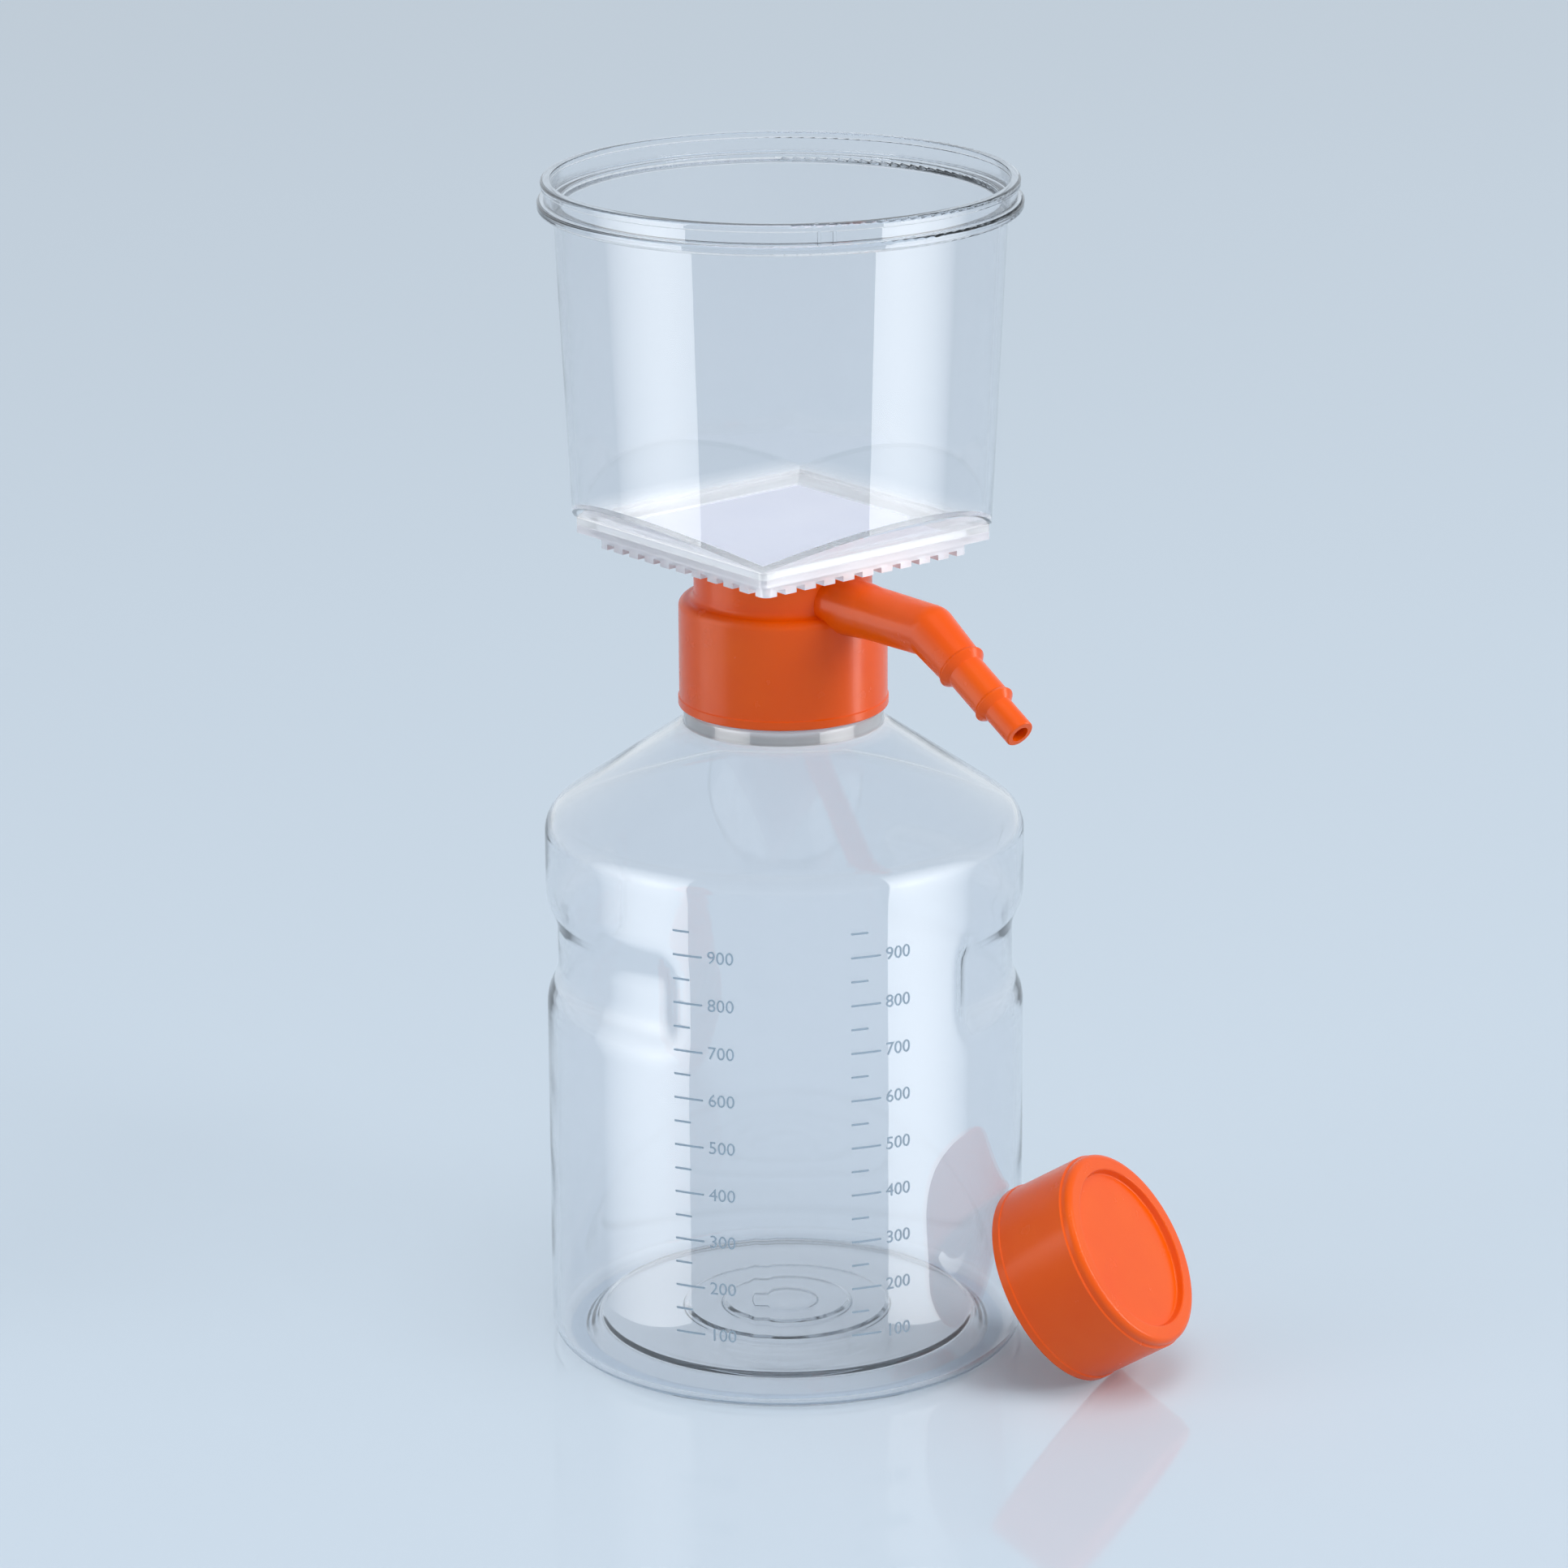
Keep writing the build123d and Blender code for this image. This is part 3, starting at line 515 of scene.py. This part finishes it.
cast, tree, output = new_material("matt_cast_membrane")
where = add_node(tree, "ShaderNodeTexCoord").outputs["Object"]
pores = add_node(tree, "ShaderNodeTexNoise", Vector=where, Scale=1 / (0.35 * MM), Detail=4.0)
relief = add_node(
    tree, "ShaderNodeBump", Height=pores.outputs["Fac"], Strength=0.5, Distance=0.02 * MM,
)
shade = add_node(tree, "ShaderNodeTexNoise", Vector=where, Scale=1 / (14 * MM), Detail=2.0)
tone = add_node(
    tree, "ShaderNodeMix", {"data_type": "RGBA"}, Factor=shade.outputs["Fac"],
    A=linear("#DFE1EE"), B=linear("#E8E9F3"),
)
shader = add_node(
    tree, "ShaderNodeBsdfPrincipled", Base_Color=in_use(tone.outputs, "Result"), Roughness=0.85,
    Normal=relief.outputs["Normal"],
)
tree.links.new(shader.outputs["BSDF"], output.inputs["Surface"])

thickness = high[2] - low[2] - (SAG + GAP_UNDER + GAP_OVER) * MM
sheet = bmesh.new()
bmesh.ops.create_grid(sheet, x_segments=CELLS, y_segments=CELLS, size=MEMBRANE_HALF * MM)
for vert in sheet.verts:
    from_edge = MEMBRANE_HALF - max(abs(vert.co.x), abs(vert.co.y)) / MM
    wave = (cos(2 * pi * vert.co.y / (RIB_PITCH * MM)) - 1) / 2
    vert.co.z = SAG * MM * wave * eased(from_edge / EDGE_FLAT)
raised = bmesh.ops.extrude_face_region(sheet, geom=sheet.faces[:])["geom"]
top = [g for g in raised if isinstance(g, bmesh.types.BMVert)]
bmesh.ops.translate(sheet, vec=(0, 0, thickness), verts=top)
bmesh.ops.recalc_face_normals(sheet, faces=sheet.faces)
bmesh.ops.rotate(sheet, cent=(0, 0, 0), matrix=Matrix.Rotation(FOOT_TURN, 3, "Z"), verts=sheet.verts)
bmesh.ops.translate(sheet, vec=(0, 0, low[2] + (SAG + GAP_UNDER) * MM), verts=sheet.verts)
membrane = finished(sheet, "membrane_sheet", cast)
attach(membrane, "head")
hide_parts("filter_membrane")

# ---- Studio -------------------------------------------------------------------------------
# The unit stands on a large pale table with a soft gloss, in an even pale room. Large softboxes
# at the right, overhead and at the left light it. Narrow strips beside it draw the long streaks
# in the clear walls and the sheen on the orange mouldings.
CAMERA_PLACE = (0.0, -1.388, 0.5539)
CAMERA_DOWN = 16.89
CAMERA_ROLL = -0.34
TABLE_R = 4.0
STRIP_H = 0.56

camera_data = bpy.data.cameras.new("camera")
camera_data.sensor_width = 36.0
camera_data.lens = 145.3
camera = bpy.data.objects.new("camera", camera_data)
camera.matrix_world = (
    Matrix.Translation(CAMERA_PLACE)
    @ Matrix.Rotation(radians(90 - CAMERA_DOWN), 4, "X")
    @ Matrix.Rotation(radians(CAMERA_ROLL), 4, "Z")
)
scene.collection.objects.link(camera)
scene.camera = camera
scene.view_settings.view_transform = "Standard"

laminate, tree, output = new_material("pale_table_laminate")
where = add_node(tree, "ShaderNodeTexCoord").outputs["Object"]
grain = add_node(tree, "ShaderNodeTexNoise", Vector=where, Scale=1 / (1.5 * MM), Detail=2.0)
gloss = add_node(tree, "ShaderNodeMapRange", Value=grain.outputs["Fac"], To_Min=0.05, To_Max=0.09)
shader = add_node(
    tree, "ShaderNodeBsdfPrincipled", Base_Color=linear("#D3DFEA"),
    Roughness=gloss.outputs["Result"],
)
tree.links.new(shader.outputs["BSDF"], output.inputs["Surface"])

table_shape = bmesh.new()
bmesh.ops.create_circle(table_shape, cap_ends=True, segments=96, radius=TABLE_R)
table = finished(table_shape, "table_top", laminate)

# The room is a little darker overhead. It is as bright as it is written where it is seen
# directly, mirrored or through the clear walls, and lights matt surfaces with 0.6 of that.
room = bpy.data.worlds.new("room")
room.use_nodes = True
scene.world = room
tree = room.node_tree
tree.nodes.clear()
output = tree.nodes.new("ShaderNodeOutputWorld")
where = add_node(tree, "ShaderNodeTexCoord").outputs["Generated"]
up = add_node(tree, "ShaderNodeSeparateXYZ", Vector=where).outputs["Z"]
fade = add_node(tree, "ShaderNodeValToRGB", Fac=up)
fade.color_ramp.elements[0].position = 0.05
fade.color_ramp.elements[0].color = linear("#E2EAF1")
fade.color_ramp.elements[1].position = 0.7
fade.color_ramp.elements[1].color = linear("#BAC6D1")
rays = add_node(tree, "ShaderNodeLightPath").outputs
seen = rays["Is Camera Ray"]
for kind in ("Is Glossy Ray", "Is Transmission Ray"):
    either = add_node(tree, "ShaderNodeMath", {"operation": "MAXIMUM"})
    tree.links.new(seen, either.inputs[0])
    tree.links.new(rays[kind], either.inputs[1])
    seen = either.outputs["Value"]
level = add_node(tree, "ShaderNodeMapRange", Value=seen, To_Min=0.6, To_Max=1.0)
sky = add_node(
    tree, "ShaderNodeBackground", Color=fade.outputs["Color"], Strength=level.outputs["Result"],
)
tree.links.new(sky.outputs["Background"], output.inputs["Surface"])


def softbox(name, place, target, width, length, brightness, spread=180.0):
    """Rectangular softbox at a place, facing a target; brightness is its radiance straight on.

    A grid on its front narrows the light to a spread, in degrees, which fades it to its sides.
    """
    half = radians(spread) / 2
    lamp_data = bpy.data.lights.new(name, "AREA")
    lamp_data.shape = "RECTANGLE"
    lamp_data.size = width
    lamp_data.size_y = length
    lamp_data.spread = 2 * half
    lamp_data.energy = brightness * pi * width * length * (1 - half / tan(half))
    lamp = bpy.data.objects.new(name, lamp_data)
    facing = (Vector(target) - Vector(place)).to_track_quat("-Z", "Y").to_matrix().to_4x4()
    lamp.matrix_world = Matrix.Translation(place) @ facing
    lamp.visible_camera = False
    scene.collection.objects.link(lamp)
    return lamp


# Soft light from the right, from above and, weaker, from the left. Its lamps show in no surface.
for name, place, size, brightness in (
    ("right_softbox", (4.80, -2.24, 3.58), 3.8, 5.2),
    ("overhead_softbox", (0.30, -0.60, 2.60), 1.6, 2.6),
    ("left_softbox", (-1.90, -0.80, 0.95), 1.3, 1.5),
):
    soft = softbox(name, place, (0, 0, 0.1), size, size, brightness)
    soft.visible_glossy = False
    soft.visible_transmission = False

# Clean clear plastic hardly shades what is behind it.
clear_pieces = (bottle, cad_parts["funnel"], plate)
for piece in clear_pieces:
    piece.visible_shadow = False


def glint(name, place, target, width, brightness, spread, pieces):
    """Tall strip light, from the table up, that shows only as a reflection in some pieces."""
    middle = STRIP_H / 2
    lamp = softbox(name, (*place, middle), (*target, middle), width, STRIP_H, brightness, spread)
    lamp.visible_diffuse = False
    lamp.visible_transmission = False
    shown = bpy.data.collections.new(name)
    for piece in pieces:
        shown.objects.link(piece)
    lamp.light_linking.receiver_collection = shown


# Two strips stand close beside the bottle and face across it, so that each draws a streak with a
# crisp inner edge that fades outwards.
for name, place, target, brightness in (
    ("left_streak", (-0.075, -0.054), (0.805, 0.420), 6.2),
    ("right_streak", (0.078, -0.051), (-0.802, 0.423), 6.8),
):
    glint(name, place, target, 0.07, brightness, 84.0, clear_pieces)

# A broad dim strip at the left and a narrow bright one at the right give the orange its sheen.
orange_pieces = (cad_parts["bottle_adapter"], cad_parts["storage_cap"])
glint("left_sheen", (-0.45, -0.05), (0, 0), 0.30, 1.6, 150.0, orange_pieces)
glint("right_sheen", (0.45, -0.02), (0, 0), 0.07, 7.5, 150.0, orange_pieces)

# Light goes through up to a dozen walls of clear plastic before it reaches the table.
scene.cycles.max_bounces = 24
scene.cycles.glossy_bounces = 16
scene.cycles.transmission_bounces = 24
